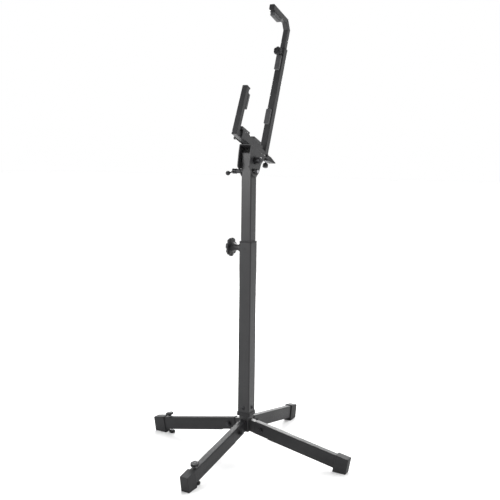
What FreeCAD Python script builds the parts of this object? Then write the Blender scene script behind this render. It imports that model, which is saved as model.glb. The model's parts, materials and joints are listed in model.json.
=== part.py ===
"""Four-legged instrument stand with a telescopic mast and a tilting padded cradle.

Millimetres. The origin is on the floor under the mast's axis. +Z is up, +X points along
the right leg and -Y along the front leg. The cradle leans back, towards +Y.
"""
import FreeCAD, Part
import math
import os
import re
from types import SimpleNamespace

import Sketcher
from FreeCAD import Placement, Rotation, Vector

SIZES = {
    # base
    "leg_slope": 10.7, "leg_width": 20, "leg_height": 40, "leg_wall": 2, "leg_corner": 3,
    "pivot_reach": 56, "pivot_level": 75.2, "leg_inner": 23, "leg_outer": 280,
    "notch_depth": 3, "notch_reach": 28, "tongue_root": 8, "tongue_play": 0.4,
    "cap_start": 247, "cap_end": 287, "cap_shell": 2.8, "cap_side": 3.2,
    "leg_bolt": 8, "leg_bolt_head": 12.5, "running": 0.05,
    "levelling_reach": 230, "ball_width": 7, "ball_level": 5, "levelling_stem": 8, "foot_width": 20,
    "foot_height": 8, "levelling_knob": 25, "levelling_knob_height": 10,
    "column_width": 33, "column_bottom": 64, "plug_top": 160, "base_screw_level": 138, "base_screw": 6,
    "base_screw_head": 11,
    # mast
    "mast_wall": 2, "lower_width": 40, "lower_corner": 4, "lower_bottom": 118, "lower_top": 646,
    "upper_width": 34, "upper_corner": 3.5, "upper_bottom": 354, "upper_top": 914,
    "liner_depth": 50, "collar_height": 5, "ring_width": 44, "ring_low": 113, "ring_high": 124,
    "clamp_level": 629, "clamp_boss": 24, "clamp_stud": 8,
    "star_width": 57, "star_rim": 10, "star_reach": 64, "star_hub": 30,
    # tilting head
    "head_level": 893.5, "tilt": 20.5, "ear_thick": 3, "ear_gap": 0.6, "web_low": 34, "web_thick": 3,
    "slot_radius": 33, "slot_width": 9, "head_bolt": 10, "head_bolt_head": 22,
    "tilt_stud": 8, "cap_nut": 19,
    "lever_level": 49, "lever_hub": 16, "lever_length": 41, "lever_ball": 14, "lever_droop": 8,
    "tilt_most": 31, "tilt_least": -10,
    # cradle
    "rail_front": 88, "rail_back": 92, "rail_width": 27, "rail_wall": 2.4,
    "rail_low": 37, "rail_high": 62, "rail_web": 59.2, "rail_bolt": 5, "thumb_place": -62, "thumb_level": 46,
    "stem_place": 103, "front_pad": -62, "rear_pad": 15, "lower_pad": 168, "upper_pad": 353,
    "pad_length": 50, "pad_width": 17, "pad_thick": 12,
    "bar_width": 17, "bar_wall": 1.5, "bar_corner": 2,
    "arm_width": 22, "arm_wall": 1.5, "arm_corner": 2.5, "arm_place": 78, "arm_foot": 40,
    "arm_top": 404, "arm_clamp": 386,
    "short_place": 105, "short_lean": 3, "short_top": 190, "short_pad": 107, "bar_level": 46, "bar_end": 54,
    "upper_foot": 190, "knee_level": 476, "hook_level": 496.5, "hook_end": 37, "hook_drop": 6, "hook_pad": 30,
    "small_knob": 27, "small_knob_height": 12, "small_neck": 9, "rail_knob": 17, "rail_knob_height": 13,
    "small_stud": 6, "boss_height": 6, "plate_thick": 3, "stopper": 4,
}
S = SimpleNamespace(**SIZES)

DOC = FreeCAD.newDocument("instrument_stand")
SHEET = DOC.addObject("Spreadsheet::Sheet", "sizes")
for row, (alias, number) in enumerate(SIZES.items(), start=1):
    SHEET.set("A%d" % row, alias)
    SHEET.set("B%d" % row, str(number))
    SHEET.setAlias("B%d" % row, alias)
DOC.recompute()

WORDS = re.compile(r"[a-z_]+")
SUBPARTS = []


# ---- parametric helpers ---------------------------------------------------------------

def sized(text):
    """The expression with each alias in it written as a cell of the sheet."""
    return WORDS.sub(lambda word: "sizes." + word[0] if word[0] in SIZES else word[0], str(text))


def bind(item, cells):
    for prop, text in cells.items():
        item.setExpression(prop, sized(text))


def place(item, at):
    """Bind an object's position to three expressions."""
    bind(item, {"Placement.Base." + axis: text for axis, text in zip("xyz", at)})
    return item


def block(size, at):
    """A box of the given X, Y and Z sizes with its centre at a point."""
    box = DOC.addObject("Part::Box", "block")
    bind(box, dict(zip(("Length", "Width", "Height"), size)))
    return place(box, ["(%s) - (%s) / 2" % pair for pair in zip(at, size)])


TURNS = {"z": Rotation(), "x": Rotation(Vector(0, 1, 0), 90), "y": Rotation(Vector(1, 0, 0), -90)}


def rod(diameter, length, at, along="z"):
    """A cylinder that starts at a point and runs along an axis."""
    item = DOC.addObject("Part::Cylinder", "rod")
    bind(item, {"Radius": "(%s) / 2" % diameter, "Height": length})
    item.Placement = Placement(Vector(), TURNS[along])
    return place(item, at)


def cone(start, end, length, at, along="z"):
    """A cone from one diameter to another."""
    item = DOC.addObject("Part::Cone", "cone")
    bind(item, {"Radius1": "(%s) / 2" % start, "Radius2": "(%s) / 2" % end, "Height": length})
    item.Placement = Placement(Vector(), TURNS[along])
    return place(item, at)


def ball(diameter, at):
    item = DOC.addObject("Part::Sphere", "ball")
    bind(item, {"Radius": "(%s) / 2" % diameter})
    return place(item, at)


def hexagon(across, length, at, along="z"):
    """A hexagonal nut or bolt head of a width across its flats."""
    item = DOC.addObject("Part::Prism", "hexagon")
    item.Polygon = 6
    bind(item, {"Circumradius": "(%s) / sqrt(3)" % across, "Height": length})
    item.Placement = Placement(Vector(), TURNS[along])
    return place(item, at)


def join(*items):
    fused = DOC.addObject("Part::MultiFuse", "join")
    fused.Shapes = list(items)
    return fused


def cut(base, *tools):
    result = DOC.addObject("Part::Cut", "cut")
    result.Base = base
    result.Tool = tools[0] if len(tools) == 1 else join(*tools)
    return result


def origin_plane(body, role):
    return next(plane for plane in body.Origin.OriginFeatures if plane.Role == role)


def outline(body, role, *loops):
    """A sketch of closed polygons whose corners are bound to expressions."""
    sketch = body.newObject("Sketcher::SketchObject", "outline")
    sketch.AttachmentSupport = (origin_plane(body, role), "")
    sketch.MapMode = "FlatFace"
    for corners in loops:
        first = sketch.GeometryCount
        count = len(corners)
        circle = [Vector(math.cos(2 * math.pi * step / count), math.sin(2 * math.pi * step / count), 0)
                  for step in range(count + 1)]
        for start, end in zip(circle, circle[1:]):
            sketch.addGeometry(Part.LineSegment(start, end), False)
        for step, (across, up) in enumerate(corners):
            line = first + step
            before = first + (step - 1) % count
            sketch.addConstraint(Sketcher.Constraint("Coincident", before, 2, line, 1))
            bound = (("DistanceX", across, circle[step].x), ("DistanceY", up, circle[step].y))
            for kind, text, start in bound:
                number = sketch.addConstraint(Sketcher.Constraint(kind, -1, 1, line, 1, start))
                sketch.setExpression("Constraints[%d]" % number, sized(text))
    return sketch


def extrude(role, depth, *loops, middle=True, back=False):
    """A body padded from closed polygons on one of its origin planes."""
    body = DOC.addObject("PartDesign::Body", "body")
    sketch = outline(body, role, *loops)
    pad = body.newObject("PartDesign::Pad", "pad")
    pad.Profile = sketch
    pad.Midplane = middle
    pad.Reversed = back
    bind(pad, {"Length": depth})
    DOC.recompute()
    return body


def soften(body, radius, chosen):
    """Round the edges that a test picks."""
    before = body.Tip
    names = ["Edge%d" % number for number, edge in enumerate(before.Shape.Edges, start=1) if chosen(edge)]
    rounding = body.newObject("PartDesign::Fillet", "rounding")
    rounding.Base = (before, names)
    bind(rounding, {"Radius": radius})
    DOC.recompute()
    return body


AXES = {"x": Vector(1, 0, 0), "y": Vector(0, 1, 0), "z": Vector(0, 0, 1)}


def lengthwise(edge, along):
    """Whether a straight edge runs along an axis."""
    if not isinstance(edge.Curve, Part.Line):
        return False
    return abs(edge.Curve.Direction.normalize().dot(AXES[along])) > 0.999


def spread(edge, along):
    """How far an edge's middle stands from an axis through the origin."""
    middle = edge.CenterOfMass
    return (middle - AXES[along] * middle.dot(AXES[along])).Length


def rectangle(across, up):
    return [("-(%s) / 2" % across, "-(%s) / 2" % up), ("(%s) / 2" % across, "-(%s) / 2" % up),
            ("(%s) / 2" % across, "(%s) / 2" % up), ("-(%s) / 2" % across, "(%s) / 2" % up)]


def bar(across, up, length, corner, along, at, wall=None):
    """A rectangular bar or tube with rounded corners that starts at a point."""
    role = {"x": "YZ_Plane", "y": "XZ_Plane", "z": "XY_Plane"}[along]
    loops = [rectangle(across, up)]
    if wall:
        loops.append(rectangle("%s - 2 * %s" % (across, wall), "%s - 2 * %s" % (up, wall)))
    body = extrude(role, length, *loops, middle=False, back=along == "y")
    edges = [edge for edge in body.Tip.Shape.Edges if lengthwise(edge, along)]
    far = sorted(spread(edge, along) for edge in edges)[-4] - 0.01
    soften(body, corner, lambda edge: lengthwise(edge, along) and spread(edge, along) > far)
    if wall:
        near = sorted(spread(edge, along) for edge in edges)[3] + 0.01
        soften(body, "%s - %s" % (corner, wall),
               lambda edge: lengthwise(edge, along) and spread(edge, along) < near)
    return place(body, at)


def moved(item, placement):
    """The piece in a compound, so that a placement acts on top of its bound position."""
    holder = DOC.addObject("Part::Compound", "holder")
    holder.Links = [item]
    holder.Placement = placement
    return holder


def subpart(label, item, placement=None):
    """Name a finished piece and put it where it belongs."""
    if placement is not None:
        item = moved(item, placement)
    item.Label = label
    SUBPARTS.append(item)
    return item


def star_knob(width, reach, rim, hub, lobes):
    """A lobed knob standing on its neck along +Z."""
    body = DOC.addObject("PartDesign::Body", "knob")
    profile = outline(body, "XZ_Plane", [
        ("0", "0"), ("%s * 0.3" % hub, "0"), ("%s * 0.34" % hub, "(%s - %s) * 0.55" % (reach, rim)),
        ("%s / 2" % hub, "%s - %s" % (reach, rim)), ("%s * 0.46" % width, "%s - %s" % (reach, rim)),
        ("%s / 2" % width, "%s - %s * 0.75" % (reach, rim)),
        ("%s / 2" % width, "%s - %s * 0.25" % (reach, rim)),
        ("%s * 0.45" % width, "%s" % reach), ("0", "%s" % reach)])
    turned = body.newObject("PartDesign::Revolution", "turned")
    turned.Profile = profile
    turned.ReferenceAxis = (profile, ["V_Axis"])
    turned.Angle = 360
    DOC.recompute()
    notch = body.newObject("Sketcher::SketchObject", "notch")
    notch.AttachmentSupport = (origin_plane(body, "XY_Plane"), "")
    notch.MapMode = "FlatFace"
    notch.addGeometry(Part.Circle(Vector(10, 0, 0), Vector(0, 0, 1), 2), False)
    bound = (("Radius", 0, None, "%s * 0.15" % width), ("DistanceX", 0, 3, "%s * 0.58" % width))
    for kind, line, point, text in bound:
        if point is None:
            number = notch.addConstraint(Sketcher.Constraint(kind, line, 2))
        else:
            number = notch.addConstraint(Sketcher.Constraint(kind, line, point, 10))
        notch.setExpression("Constraints[%d]" % number, sized(text))
    notch.addConstraint(Sketcher.Constraint("PointOnObject", 0, 3, -1))
    groove = body.newObject("PartDesign::Pocket", "groove")
    groove.Profile = notch
    groove.Midplane = True
    bind(groove, {"Length": "3 * %s" % width})
    DOC.recompute()
    pattern = body.newObject("PartDesign::PolarPattern", "lobes")
    pattern.Originals = [groove]
    pattern.Axis = (notch, ["N_Axis"])
    pattern.Angle = 360
    pattern.Occurrences = lobes
    body.Tip = pattern
    DOC.recompute()
    return body


# ---- base: hub, legs, caps and levelling screws ----------------------------------------

HEADINGS = {"right": 0, "back": 90, "left": 180, "front": -90}
LEVELLED = ("left", "front")


def leg_frame(heading):
    """The frame of a leg: origin on its pivot bolt, +X outwards along the sloping leg."""
    slope = Placement(Vector(S.pivot_reach, 0, S.pivot_level), Rotation(Vector(0, 1, 0), S.leg_slope))
    return Placement(Vector(), Rotation(Vector(0, 0, 1), heading)) * slope


def floor_line(reach):
    """The height of the floor in a leg's frame at a distance along the leg."""
    return "((%s) * sin(leg_slope) - pivot_level) / cos(leg_slope)" % reach


def hub_core():
    """The column between the legs, with a plug for the mast and a tongue for each leg."""
    column = bar("column_width", "column_width", "plug_top - column_bottom - 1", "3", "z",
                 ("0", "0", "column_bottom"))
    plug_width = "lower_width - 2 * mast_wall - 0.4"
    plug = bar(plug_width, plug_width, "plug_top - lower_bottom", "2.2", "z", ("0", "0", "lower_bottom"))
    tongues = []
    for heading in HEADINGS.values():
        width = "leg_width - 2 * leg_wall - 2 * tongue_play"
        height = "leg_height - 2 * leg_wall - 2 * tongue_play"
        length = "pivot_reach - tongue_root"
        shank = block((length, width, height), ("-(%s) / 2" % length, "0", "0"))
        nose = rod(height, width, ("0", "-(%s) / 2" % width, "0"), "y")
        hole = rod("leg_bolt", "leg_width", ("0", "-leg_width / 2", "0"), "y")
        tongue = cut(join(shank, nose), hole)
        tongue.Placement = leg_frame(heading)
        tongues.append(tongue)
    screws = [rod("base_screw", "lower_width", ("-lower_width / 2", "0", "base_screw_level"), "x"),
              rod("base_screw", "lower_width", ("0", "-lower_width / 2", "base_screw_level"), "y")]
    return subpart("hub_core", cut(join(column, plug, *tongues), *screws))


def base_ring():
    """The plastic ring that closes the gap between the column and the mast."""
    ring = bar("ring_width", "ring_width", "ring_high - ring_low", "5", "z", ("0", "0", "ring_low"))
    seat = bar("lower_width", "lower_width", "ring_high - lower_bottom", "lower_corner", "z",
               ("0", "0", "lower_bottom"))
    core = bar("column_width", "column_width", "lower_bottom - ring_low", "3", "z", ("0", "0", "ring_low"))
    return subpart("base_ring", cut(ring, seat, core))


def base_screws():
    """Four pan-head screws through the foot of the mast into the plug."""
    screws = []
    for heading in range(0, 360, 90):
        shank = rod("base_screw", "lower_width / 2 - 8", ("8", "0", "0"), "x")
        rim = rod("base_screw_head", "1.2", ("lower_width / 2", "0", "0"), "x")
        dome = cone("base_screw_head", "base_screw_head * 0.6", "1.6",
                    ("lower_width / 2 + 1.2", "0", "0"), "x")
        recess = hexagon("base_screw_head * 0.36", "4", ("lower_width / 2 + 0.8", "0", "0"), "x")
        screw = cut(join(shank, rim, dome), recess)
        screw.Placement = Placement(Vector(0, 0, S.base_screw_level), Rotation(Vector(0, 0, 1), heading))
        screws.append(screw)
    return subpart("base_screws", join(*screws))


def leg_pivot_bolts():
    """A bolt across each leg, on which it folds."""
    bolts = []
    for heading in HEADINGS.values():
        shank = rod("leg_bolt", "leg_width + 11", ("0", "-leg_width / 2 - 1", "0"), "y")
        washer = rod("leg_bolt_head + 2", "1", ("0", "-leg_width / 2 - 1.2", "0"), "y")
        head = rod("leg_bolt_head", "4.5", ("0", "-leg_width / 2 - 5.7", "0"), "y")
        socket = hexagon("leg_bolt * 0.75", "3", ("0", "-leg_width / 2 - 6.2", "0"), "y")
        bolt = cut(join(shank, washer, head), socket)
        bolt.Placement = leg_frame(heading)
        bolts.append(bolt)
    return subpart("leg_pivot_bolts", join(*bolts))


def leg_pivot_nuts():
    nuts = []
    for heading in HEADINGS.values():
        washer = rod("leg_bolt_head + 2", "1", ("0", "leg_width / 2 + 0.2", "0"), "y")
        nut = hexagon("13", "6.5", ("0", "leg_width / 2 + 1.2", "0"), "y")
        fitted = cut(join(washer, nut), rod("leg_bolt", "30", ("0", "0", "0"), "y"))
        fitted.Placement = leg_frame(heading)
        nuts.append(fitted)
    return subpart("leg_pivot_nuts", join(*nuts))


def leg_tube(side, heading):
    tube = bar("leg_width", "leg_height", "leg_outer + leg_inner", "leg_corner", "x",
               ("-leg_inner", "0", "0"), "leg_wall")
    notch = block(("leg_inner + notch_reach + 2", "2 * leg_width", "2 * notch_depth"),
                  ("(notch_reach - leg_inner) / 2 - 1", "0", "-leg_height / 2"))
    tools = [notch, rod("leg_bolt + 2 * running", "2 * leg_width", ("0", "-leg_width", "0"), "y")]
    if side in LEVELLED:
        tools.append(rod("levelling_stem + 2 * running", "2 * leg_height",
                         ("levelling_reach", "0", "-leg_height")))
    return subpart("leg_tube_" + side, cut(tube, *tools), leg_frame(heading))


def leg_end_cap(side, heading):
    """A moulded shoe whose heel reaches the floor with a level underside."""
    top = "leg_height / 2 + cap_shell"
    shoe = extrude("XZ_Plane", "leg_width + 2 * cap_side",
                   [("cap_start", floor_line("cap_start")), ("cap_end", floor_line("cap_end")),
                    ("cap_end", top), ("cap_start", top)])
    soften(shoe, "2", lambda edge: lengthwise(edge, "y") and edge.CenterOfMass.x > S.cap_start + 1)
    soften(shoe, "1.5", lambda edge: lengthwise(edge, "x") or lengthwise(edge, "z"))
    socket = bar("leg_width", "leg_height", "leg_outer - cap_start", "leg_corner", "x",
                 ("cap_start", "0", "0"))
    return subpart("leg_end_cap_" + side, cut(shoe, socket), leg_frame(heading))


def levelling(side, heading):
    """A levelling screw with its knob above the leg, and the foot that its ball end turns in."""
    tip_level = "((ball_level - pivot_level) + levelling_reach * sin(leg_slope)) / cos(leg_slope)"
    neck_length = "(ball_width * 0.7)"
    stem = rod("levelling_stem", "leg_height / 2 + 6 - (%s) - %s" % (tip_level, neck_length),
               ("levelling_reach", "0", "%s + %s" % (tip_level, neck_length)))
    neck = rod("ball_width * 0.66", "ball_width", ("levelling_reach", "0", tip_level))
    tip = ball("ball_width", ("levelling_reach", "0", tip_level))
    subpart("levelling_screw_" + side, join(stem, neck, tip), leg_frame(heading))

    grip = star_knob("levelling_knob", "levelling_knob_height + 2", "levelling_knob_height - 2", "16", 6)
    place(grip, ("levelling_reach", "0", "leg_height / 2 + 1.5"))
    hollow = rod("levelling_stem", "leg_height / 2 + 6", ("levelling_reach", "0", "0"))
    subpart("levelling_knob_" + side, cut(grip, hollow), leg_frame(heading))

    reach = "pivot_reach + levelling_reach * cos(leg_slope) + (%s) * sin(leg_slope)" % tip_level
    sole = cone("foot_width - 3", "foot_width", "2", (reach, "0", "0"))
    wall = rod("foot_width", "foot_height - 4", (reach, "0", "2"))
    shoulder = cone("foot_width", "foot_width - 8", "2", (reach, "0", "foot_height - 2"))
    socket = ball("ball_width + 2 * running", (reach, "0", "ball_level"))
    mouth = cone("ball_width - 0.8", "ball_width + 4", "4", (reach, "0", "ball_level + 1"))
    foot = cut(join(sole, wall, shoulder), socket, mouth)
    subpart("levelling_foot_" + side, foot, Placement(Vector(), Rotation(Vector(0, 0, 1), heading)))


# ---- mast ------------------------------------------------------------------------------

def lower_mast_tube():
    tube = bar("lower_width", "lower_width", "lower_top - lower_bottom", "lower_corner", "z",
               ("0", "0", "lower_bottom"), "mast_wall")
    clamp_hole = rod("clamp_stud + 1", "8", ("-lower_width / 2 - 1", "0", "clamp_level"), "x")
    snap_hole = rod("4", "8", ("0", "-lower_width / 2 - 1", "clamp_level"), "y")
    screws = [rod("base_screw", "2 * lower_width", ("-lower_width", "0", "base_screw_level"), "x"),
              rod("base_screw", "2 * lower_width", ("0", "-lower_width", "base_screw_level"), "y")]
    return subpart("lower_mast_tube", cut(tube, clamp_hole, snap_hole, *screws))


def mast_glide_collar():
    """The plastic collar on the lower tube, with the liner that the upper tube slides in."""
    flange = bar("lower_width + 0.6", "lower_width + 0.6", "collar_height", "lower_corner", "z",
                 ("0", "0", "lower_top"))
    liner_width = "lower_width - 2 * mast_wall - 0.2"
    liner = bar(liner_width, liner_width, "liner_depth + 1", "2.2", "z",
                ("0", "0", "lower_top - liner_depth"))
    snap = rod("3.8", "3", ("0", "-lower_width / 2 + 0.4", "clamp_level"), "y")
    bore_width = "upper_width + 0.3"
    bore = bar(bore_width, bore_width, "liner_depth + collar_height + 2", "upper_corner", "z",
               ("0", "0", "lower_top - liner_depth - 1"))
    clamp_hole = rod("clamp_stud + 1", "8", ("-lower_width / 2 - 1", "0", "clamp_level"), "x")
    return subpart("mast_glide_collar", cut(join(flange, liner, snap), bore, clamp_hole))


def mast_clamp():
    """The welded boss on the lower tube, and the star knob and stud that screw into it."""
    face = "-lower_width / 2"
    boss = rod("clamp_boss", "9", (face + " - 9", "0", "clamp_level"), "x")
    bore = rod("clamp_stud + 2 * running", "20", (face + " - 15", "0", "clamp_level"), "x")
    subpart("mast_clamp_boss", cut(boss, bore))
    subpart("mast_clamp_stud", rod("clamp_stud", "lower_width / 2 + 22 - upper_width / 2",
                                   (face + " - 22.3", "0", "clamp_level"), "x"))
    knob = star_knob("star_width", "star_reach - lower_width / 2 - 9.5", "star_rim", "star_hub", 7)
    hollow = rod("clamp_stud", "13.2", ("0", "0", "-0.4"))
    outward = Placement(Vector(-S.lower_width / 2 - 9.5, 0, S.clamp_level), Rotation(Vector(0, 1, 0), -90))
    subpart("mast_clamp_knob", cut(knob, hollow), outward)


def head_holes():
    """The holes across the top of the mast for the pivot bolt and the clamp stud."""
    across = "2 * upper_width"
    return [rod("head_bolt", across, ("-upper_width", "0", "head_level"), "x"),
            rod("tilt_stud + 2 * running", across, ("-upper_width", "0", "head_level - slot_radius"), "x")]


def upper_mast_tube():
    tube = bar("upper_width", "upper_width", "upper_top - upper_bottom", "upper_corner", "z",
               ("0", "0", "upper_bottom"), "mast_wall")
    return subpart("upper_mast_tube", cut(tube, *head_holes()))


def mast_ends():
    """The plastic glide at the foot of the upper tube, and the block that stiffens its top."""
    shoe_width = "lower_width - 2 * mast_wall - 0.3"
    shoe = bar(shoe_width, shoe_width, "34", "2.2", "z", ("0", "0", "upper_bottom - 4"))
    inside = bar("upper_width", "upper_width", "31", "upper_corner", "z", ("0", "0", "upper_bottom"))
    subpart("mast_bottom_glide", cut(shoe, inside))
    plug_width = "upper_width - 2 * mast_wall"
    plug = bar(plug_width, plug_width, "72", "1.5", "z", ("0", "0", "upper_top - 72"))
    lid = bar("upper_width", "upper_width", "2", "upper_corner", "z", ("0", "0", "upper_top"))
    subpart("mast_top_block", cut(join(plug, lid), *head_holes()))


# ---- tilting head ----------------------------------------------------------------------

EAR_OUTSIDE = "(upper_width / 2 + ear_gap + ear_thick)"


def head_pivot():
    """The pivot bolt across the mast, with its capped nut on the right."""
    shank = rod("head_bolt", "2 * %s + 8" % EAR_OUTSIDE, ("-%s - 2" % EAR_OUTSIDE, "0", "head_level"), "x")
    washer = rod("head_bolt_head", "1.5", ("-%s - 1.8" % EAR_OUTSIDE, "0", "head_level"), "x")
    head = hexagon("17", "6.4", ("-%s - 8.2" % EAR_OUTSIDE, "0", "head_level"), "x")
    subpart("head_pivot_bolt", join(shank, washer, head))
    flange = rod("head_bolt_head + 1", "4", (EAR_OUTSIDE + " + 0.3", "0", "head_level"), "x")
    sleeve = rod("cap_nut", "13", (EAR_OUTSIDE + " + 4.3", "0", "head_level"), "x")
    dome = cone("cap_nut", "cap_nut - 7", "4", (EAR_OUTSIDE + " + 17.3", "0", "head_level"), "x")
    bore = rod("head_bolt", "6", (EAR_OUTSIDE, "0", "head_level"), "x")
    subpart("head_pivot_nut", cut(join(flange, sleeve, dome), bore))


def tilt_clamp():
    """The clamp stud through the mast and the slots, its nut, and its ball-ended lever."""
    level = "head_level - slot_radius"
    stud = rod("tilt_stud", "lever_level + %s + 11" % EAR_OUTSIDE, ("-lever_level", "0", level), "x")
    subpart("tilt_clamp_stud", stud)
    washer = rod("16", "1.5", (EAR_OUTSIDE + " + 0.3", "0", level), "x")
    nut = hexagon("13", "6.5", (EAR_OUTSIDE + " + 1.8", "0", level), "x")
    bore = rod("tilt_stud + 2 * running", "40", ("0", "0", level), "x")
    subpart("tilt_clamp_nut", cut(join(washer, nut), bore))

    sleeve = rod("lever_hub - 3", "lever_level - 6 - %s - 0.3" % EAR_OUTSIDE,
                 ("-lever_level + 6", "0", level), "x")
    hub = rod("lever_hub", "12", ("-lever_level - 6", "0", level), "x")
    stud_bore = rod("tilt_stud", "40", ("-lever_level", "0", level), "x")
    forward = Placement(Vector(-S.lever_level, 0, S.head_level - S.slot_radius),
                        Rotation(Vector(1, 0, 0), 90 + S.lever_droop))
    shaft = moved(rod("5", "lever_length - 4", ("0", "0", "0")), forward)
    subpart("tilt_lever", cut(join(sleeve, hub, shaft), stud_bore))
    grip = cut(ball("lever_ball", ("0", "0", "lever_length")), rod("5", "lever_length - 4", ("0", "0", "0")))
    subpart("tilt_lever_ball", grip, forward)


CRADLE = Placement(Vector(0, 0, S.head_level), Rotation(Vector(1, 0, 0), -S.tilt))


def head_bracket():
    """A folded sheet-steel saddle: a web under the rail and an ear each side of the mast."""
    top = "web_low + web_thick"
    saddle = extrude("YZ_Plane", "2 * " + EAR_OUTSIDE,
                     [("-38", top), ("-35", "10"), ("-28", "-29"), ("6", "-48"), ("24", "-46"),
                      ("36", "-26"), ("40", "2"), ("60", top)])
    soften(saddle, "7", lambda edge: lengthwise(edge, "x") and edge.CenterOfMass.z < -20)
    soften(saddle, "2.4", lambda edge: lengthwise(edge, "y") and edge.CenterOfMass.z > S.web_low)
    channel = block(("upper_width + 2 * ear_gap", "200", "100"), ("0", "0", "web_low - 50"))
    pivot_hole = rod("head_bolt + 2 * running", "100", ("-50", "0", "0"), "x")
    return subpart("head_bracket", cut(saddle, channel, pivot_hole, *tilt_slot()), CRADLE)


def tilt_slot():
    """The arc in both ears that the clamp stud runs in, centred on the pivot."""
    sector = DOC.addObject("Part::Cylinder", "sector")
    bind(sector, {"Radius": "slot_radius + slot_width / 2", "Height": "100",
                  "Angle": "tilt_most - tilt_least"})
    core = DOC.addObject("Part::Cylinder", "core")
    bind(core, {"Radius": "slot_radius - slot_width / 2", "Height": "100"})
    arc = cut(sector, core)
    start = Placement(Vector(), Rotation(Vector(0, 0, 1), S.tilt_least))
    arc.Placement = Placement(Vector(-50, 0, 0), TURNS["x"]) * start
    ends = []
    for angle in ("tilt_least", "tilt_most"):
        middle = ("-50", "slot_radius * sin(%s)" % angle, "-slot_radius * cos(%s)" % angle)
        ends.append(rod("slot_width", "100", middle, "x"))
    return [arc] + ends


# ---- cradle: rail, pads and long arm ------------------------------------------------------

def rail_channel():
    """A channel rail: the slide bar runs under its web and the pads sit on top."""
    side = "rail_width / 2"
    inner = "(rail_width / 2 - rail_wall)"
    section = [("-" + side, "rail_low"), ("-" + inner, "rail_low"), ("-" + inner, "rail_web"),
               (inner, "rail_web"), (inner, "rail_low"), (side, "rail_low"), (side, "rail_high"),
               ("-" + side, "rail_high")]
    beam = extrude("XZ_Plane", "rail_front + rail_back", section, middle=False, back=True)
    soften(beam, "1.5", lambda edge: lengthwise(edge, "y") and edge.CenterOfMass.z > S.rail_high - 0.1)
    place(beam, ("0", "-rail_front", "0"))
    step = extrude("YZ_Plane", "2 * rail_width",
                   [("41", "rail_high + 1"), ("41", "54"), ("rail_back + 1", "48"),
                    ("rail_back + 1", "rail_high + 1")])
    bolt = rod("rail_bolt", "2 * rail_width", ("-rail_width", "arm_place", "arm_foot + rail_bolt"), "x")
    thumb = rod("small_stud + 2 * running", "12", ("-rail_width / 2 - 4", "thumb_place", "thumb_level"), "x")
    return subpart("rail_channel", cut(beam, step, thumb, bolt), CRADLE)


def rail_trim():
    """The two glides that guide the slide bar, the tapered end plug and the cross bolts."""
    glides = []
    for middle in ("7.5 - rail_front", "29"):
        shoe = block(("rail_width - 2 * rail_wall", "14", "rail_web - rail_low - 2"),
                     ("0", middle, "(rail_web + rail_low) / 2 + 1"))
        hole = block(("bar_width + 0.3", "20", "bar_width + 0.3"), ("0", middle, "bar_level"))
        glides.append(cut(shoe, hole))
    thumb = rod("small_stud + 1", "40", ("-40", "thumb_place", "thumb_level"), "x")
    subpart("rail_glides", cut(join(*glides), thumb), CRADLE)
    plug = extrude("YZ_Plane", "rail_width - 2 * rail_wall - 0.4",
                   [("rail_back - 2.5", "rail_low"), ("rail_back + 2", "rail_low - 2"), ("143", "43"),
                    ("148", "46"), ("rail_back + 18", "52"), ("rail_back + 2", "51"),
                    ("rail_back + 2", "47"), ("rail_back - 2.5", "47")])
    soften(plug, "1", lambda edge: lengthwise(edge, "x") and edge.CenterOfMass.y > S.rail_back + 4)
    stud_hole = rod("small_stud + 2 * running", "16", ("0", "stem_place", "rail_low - 6"))
    subpart("rail_end_plug", cut(plug, stud_hole), CRADLE)
    level = "arm_foot + rail_bolt"
    bolt = join(rod("rail_bolt", "rail_width + 3", ("-rail_width / 2 - 1", "arm_place", level), "x"),
                rod("rail_bolt + 4", "3", ("rail_width / 2", "arm_place", level), "x"),
                hexagon("rail_bolt + 3", "4", ("-rail_width / 2 - 4", "arm_place", level), "x"))
    subpart("arm_foot_bolt", bolt, CRADLE)


def pad_solid():
    """A firm foam pad lying on its own XY plane, its length along Y."""
    foam = extrude("XZ_Plane", "pad_length", [("-pad_width / 2", "0"), ("pad_width / 2", "0"),
                                              ("pad_width / 2", "pad_thick"), ("-pad_width / 2", "pad_thick")])
    return soften(foam, "2", lambda edge: edge.CenterOfMass.z > S.pad_thick - 0.1)


def facing(along, off, turn):
    """A pad's frame in the cradle: its middle, and its turn from lying flat about +X."""
    return CRADLE * Placement(Vector(0, along, off), Rotation(Vector(1, 0, 0), turn))


def long_arm():
    at = ("0", "arm_place", "arm_foot")
    tube = bar("arm_width", "arm_width", "arm_top - arm_foot", "arm_corner", "z", at, "arm_wall")
    bolt = rod("rail_bolt", "60", ("-30", "arm_place", "arm_foot + rail_bolt"), "x")
    stud = rod("small_stud + 1", "20", ("0", "arm_place - 20", "arm_clamp"), "y")
    subpart("long_arm_tube", cut(tube, bolt, stud), CRADLE)
    flange = bar("arm_width + 0.4", "arm_width + 0.4", "5", "arm_corner", "z", ("0", "arm_place", "arm_top"))
    liner_width = "arm_width - 2 * arm_wall - 0.2"
    liner = bar(liner_width, liner_width, "41", "1.1", "z", ("0", "arm_place", "arm_top - 40"))
    bore = bar("bar_width + 0.3", "bar_width + 0.3", "60", "bar_corner", "z",
               ("0", "arm_place", "arm_top - 50"))
    stud_hole = rod("small_stud + 1", "20", ("0", "arm_place - 20", "arm_clamp"), "y")
    subpart("arm_glide_collar", cut(join(flange, liner), bore, stud_hole), CRADLE)


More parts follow.
